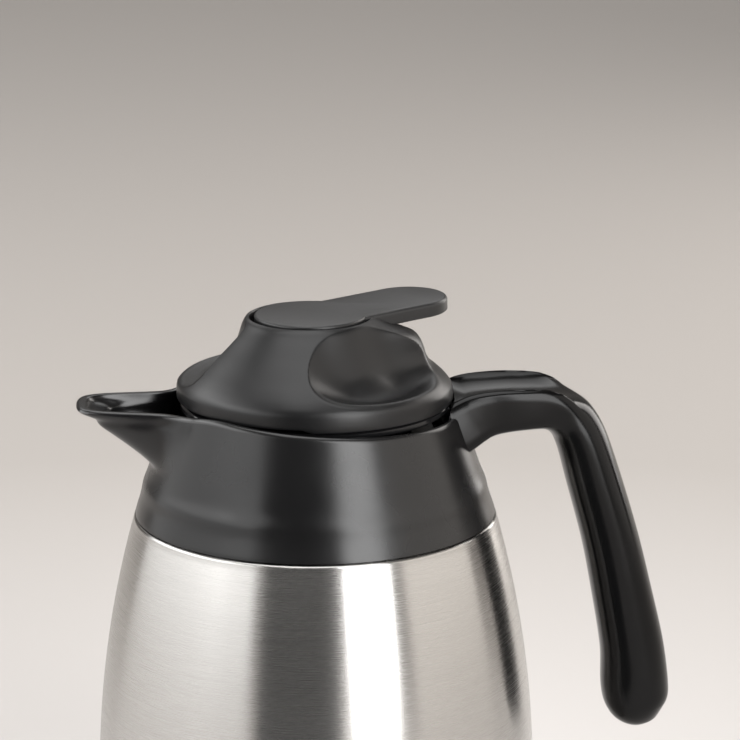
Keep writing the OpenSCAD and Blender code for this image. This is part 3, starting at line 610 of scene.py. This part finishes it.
def lid_row(angle, u):
    """Radius and height on the lid's outside; u counts the rings from the skirt's edge."""
    front, rear, scoop = (curve_at(p, u) for p in (FRONT_PROFILE, REAR_PROFILE, SCOOP_PROFILE))
    blend, deep = smooth(FRONT_END, REAR_START, abs(angle)), scoop_depth(angle, u / RINGS)
    share, height = (mix(mix(f, r, blend), s, deep) for f, r, s in zip(front, rear, scoop))
    return mix(well_at(angle, DISC_R + WELL_GAP + 0.6), LID_R, share), LID_H * height


def lid_wall(angle, u):
    """The inside of the lid's wall, one thickness in from the outside."""
    p, e = lid_row(angle, u), 0.05
    ahead, behind = lid_row(angle, min(u + e, RINGS)), lid_row(angle, max(u - e, 0))
    t = Vector((ahead[0] - behind[0], ahead[1] - behind[1])).normalized()
    return p[0] - LID_T * t[1], p[1] + LID_T * t[0]


def lid_section(angle):
    """Outline of the lid at an angle: skirt's edge, outside, edge of the well, inside of the wall."""
    ramp, edge = 4, 0.4
    lift = POUR_STEP * unit((POUR_HALF - abs(angle)) / ramp)
    inner_top = lid_wall(angle, 7.5)[1]
    well = well_at(angle, DISC_R + WELL_GAP)
    return ([(LID_R - edge, lift), (LID_R - 0.3 * edge, lift + 0.3 * edge), (LID_R, lift + edge)]
            + [lid_row(angle, u) for u in spread(0.6, RINGS, 104)]
            + [(well + 0.25, LID_H - 0.12), (well, LID_H - 0.6), (well, inner_top)]
            + [lid_wall(angle, u) for u in (7.5, 7, 6.5, 6, 5.5, 5, 4.5, 4, 3.5, 3, 2.3, 1.7, 1.2)]
            + [(LID_R - LID_T, lift)])


def make_lid():
    half = spread(0, 50, 42) + spread(50.6, POUR_HALF, 8) + spread(55.6, 180, 108)
    angles = half + [-a for a in half[-2:0:-1]]
    lid = skin("lid_dome", [on_lid([(-r * cos(a), r * sin(a), SKIRT_Z + z) for r, z in lid_section(a)])
                            for a in angles])
    slot_half, travel = PADDLE_HALF_W + 0.7, 3.4
    cutter = block("slot", (0, -slot_half, LID_TOP_Z - PADDLE_T - travel),
                   (LID_R + 10, slot_half, LID_TOP_Z + 5))
    cutter.data.transform(Matrix.Rotation(math.radians(LID_TURN), 4, "Z"))
    boolean(lid, cutter, "DIFFERENCE")
    dress(lid, "lid", LID, ["lid_shell"], sharp=32)


def plate(name, outline, top, thickness, bevel, steps=5):
    """A flat plate from a function that gives its outline at an inset, with a rounded top edge."""
    low_bevel = 0.3
    arcs = [(bevel * (1 - cos(a)), top - bevel + bevel * sin(a)) for a in spread(0, 90, steps)]
    levels = [(low_bevel, top - thickness), (0, top - thickness + low_bevel)] + arcs
    return skin(name, [[(x, y, z) for x, y in outline(inset)] for inset, z in levels], ends="caps")


def disc_outline(inset):
    r = DISC_R - inset
    return [(-DISC_FORWARD + r * cos(a), r * sin(a)) for a in spread(0, 360, 160)[:-1]]


def paddle_outline(inset):
    start_x, end_x = 4, PADDLE_REACH - PADDLE_HALF_W
    half_w = PADDLE_HALF_W - inset
    tip = [(end_x + half_w * cos(a), half_w * sin(a)) for a in spread(-90, 90, 64)]
    return [(start_x, -half_w)] + tip + [(start_x, half_w)]


def make_lever():
    """The disc and the paddle, with two lugs round the pin and two toes that hold the stem's head."""
    lever = plate("lever_moulded", disc_outline, LEVER_TOP_Z, DISC_T, 0.8)
    paddle = plate("paddle", paddle_outline, LEVER_TOP_Z, PADDLE_T, 1.2)
    pivot = Vector((PIN_X, 0, LEVER_TOP_Z)) * MM
    paddle.data.transform(Matrix.Translation(pivot) @ Matrix.Rotation(math.radians(-PADDLE_SLOPE), 4, "Y")
                          @ Matrix.Translation(-pivot))
    boolean(lever, paddle, "UNION")
    lug_y, lug_half_l, lug_half_t, lug_drop = PADDLE_HALF_W - 2.4, 4, 1.6, 2.6
    leg_y, toe_y, toe_z, toe_t = 6, 4.7, PIN_Z - 2.8, 1.6
    for side in (-1, 1):
        lug = ((PIN_X - lug_half_l, side * lug_y - lug_half_t, PIN_Z - lug_drop),
               (PIN_X + lug_half_l, side * lug_y + lug_half_t, LEVER_TOP_Z - 2))
        leg = ((-2.5, side * leg_y - 1, toe_z), (2.5, side * leg_y + 1, LEVER_TOP_Z - DISC_T + 0.5))
        toe = ((-2, side * toe_y - 2.3, toe_z), (2, side * toe_y + 2.3, toe_z + toe_t))
        for low, high in (lug, leg, toe):
            boolean(lever, block("block", low, high), "UNION")
    lever.data.transform(Matrix.Rotation(math.radians(LID_TURN), 4, "Z"))
    dress(lever, "lever", LEVER, ["thumb_lever"], sharp=32)


# ---- Spring ----

def make_spring():
    """A helix of round wire from the spring's foot to its head."""
    turns, wire, coil_r, lift = 7, 0.5, 7, 2.3
    foot, head = low_mm("valve_spring")[2], high_mm("valve_spring")[2]
    low, high = foot + wire, head - wire
    loops = []
    for t in spread(0, 1, 48 * turns):
        a = LID_TURN + 360 * turns * t
        loops.append([((coil_r + wire * cos(b)) * cos(a), (coil_r + wire * cos(b)) * sin(a),
                       mix(low, high, t) + wire * sin(b)) for b in range(0, 360, 36)])
    spring = skin("valve_spring_wire", loops, ends="caps")
    dress(spring, "lid", BRIGHT, ["valve_spring"])
    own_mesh(spring)


# ---- Nodes that keep their own shape ----

CARRIED = {
    "inner_flask": INNER_STEEL, "flask_bottom": INNER_STEEL, "flask_neck": INNER_STEEL,
    "shell_bottom": INNER_STEEL, "getter": DULL, "vacuum_plug": INNER_STEEL, "stopper_flange": STOPPER,
    "collar_seal": SILICONE, "bayonet_ring": COLLAR, "handle_screws": DULL, "stopper_gasket": SILICONE,
    "stopper_body": STOPPER, "lid_screws": BRIGHT, "lever_pin": BRIGHT, "stem_seal": SILICONE,
    "valve_stem": BRIGHT, "valve_plug": VALVE, "valve_seal": SILICONE, "valve_nut": BRIGHT}


def finish_carried_nodes():
    for name, material in CARRIED.items():
        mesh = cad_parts[name].data
        mesh.materials.clear()
        mesh.materials.append(material)


# ---- Stage, light and camera ----

def make_floor():
    """A floor with a painted pool of light: pale round the carafe, turning to warm grey with distance."""
    mesh = bpy.data.meshes.new("floor")
    edit = bmesh.new()
    bmesh.ops.create_circle(edit, cap_ends=True, radius=9, segments=96)
    edit.to_mesh(mesh)
    edit.free()
    floor = new_object("floor", mesh)
    finish = Finish("floor_paper", (0.6, 0.577, 0.562), 0.85)
    length = finish.nodes.new("ShaderNodeVectorMath")
    length.operation = "LENGTH"
    finish.links.new(finish.coordinates, length.inputs[0])
    # Painted pool of light: the floor darkens to warm grey from 0.18 m to 0.6 m out from the carafe.
    finish.tint(finish.remap(length.outputs["Value"], 0.18, 0.6, 0, 1), (0.44, 0.412, 0.388))
    mesh.materials.append(finish.material)


def softbox(name, place, width, height, power, color=(1, 1, 1), aim=(0, 0, 0.1)):
    data = bpy.data.lights.new(name, "AREA")
    data.shape = "RECTANGLE"
    data.size, data.size_y = width, height
    data.energy = power
    data.color = color
    light = new_object(name, data)
    light.location = place
    light.rotation_euler = (Vector(aim) - Vector(place)).to_track_quat("-Z", "Y").to_euler()
    light.visible_camera = False


def around(azimuth, distance, height):
    """A place at an azimuth from the camera's side of the carafe, positive towards the handle."""
    a = CAMERA_AZIMUTH + azimuth
    return distance * cos(a), distance * sin(a), height


CAMERA_PLACE = (-71.339 * MM, -948.779 * MM, 449.525 * MM)
CAMERA_TILT = 75.3084
CAMERA_PAN = -5.3336
CAMERA_LENS = 153.97
CAMERA_AZIMUTH = math.degrees(math.atan2(CAMERA_PLACE[1], CAMERA_PLACE[0]))


def make_lights():
    world = bpy.data.worlds.new("studio")
    world.use_nodes = True
    world.node_tree.nodes["Background"].inputs["Color"].default_value = (0.42, 0.39, 0.36, 1)
    world.node_tree.nodes["Background"].inputs["Strength"].default_value = 0.35
    bpy.context.scene.world = world
    softbox("left_wall", around(-80, 1.5, 0.85), 3.0, 0.9, 18)
    softbox("left_low", around(-80, 1.5, 0.2), 3.0, 0.4, 4)
    softbox("left_high", around(-95, 1.3, 1.1), 2.2, 0.7, 10)
    softbox("right_strip", around(31, 1.25, 0.5), 0.6, 1.5, 20)
    softbox("right_fill", around(80, 1.8, 0.7), 1.9, 1.6, 11, (1, 0.94, 0.88))
    softbox("right_back", around(133, 1.5, 0.6), 0.8, 1.2, 10, (1, 0.96, 0.92))
    softbox("top", (-0.1, -0.05, 1.5), 1.1, 1.1, 11)
    softbox("back_top", (0, 2.5, 2.0), 2.6, 2.0, 24, aim=(0, 1.9, 0))
    bpy.context.scene.view_settings.view_transform = "Standard"


def make_flag():
    """A dark card in front of the carafe that only reflections see, as a photographer's black flag."""
    steps = 8
    row = steps + 1
    edges = ((0.13, 0.004), (1.1, 0.004), (1.1, 1.0))
    points = [[c / MM for c in around(a, radius, height)]
              for radius, height in edges for a in spread(-30, 12, steps)]
    faces = [(row * i + j, row * i + j + 1, row * (i + 1) + j + 1, row * (i + 1) + j)
             for i in range(len(edges) - 1) for j in range(steps)]
    flag = build("flag", points, faces)
    flag.data.materials.append(Finish("flag_cloth", (0.05, 0.05, 0.05), 0.9).material)
    flag.visible_camera = flag.visible_diffuse = flag.visible_shadow = flag.visible_transmission = False


def make_camera():
    data = bpy.data.cameras.new("camera")
    data.sensor_width = 36
    data.lens = CAMERA_LENS
    camera = new_object("camera", data)
    camera.location = CAMERA_PLACE
    camera.rotation_euler = (math.radians(CAMERA_TILT), 0, math.radians(CAMERA_PAN))
    bpy.context.scene.camera = camera


make_camera()
make_floor()
make_lights()
make_flag()
make_steel_body()
make_base()
make_collar()
make_handle()
make_lid()
make_lever()
make_spring()
finish_carried_nodes()
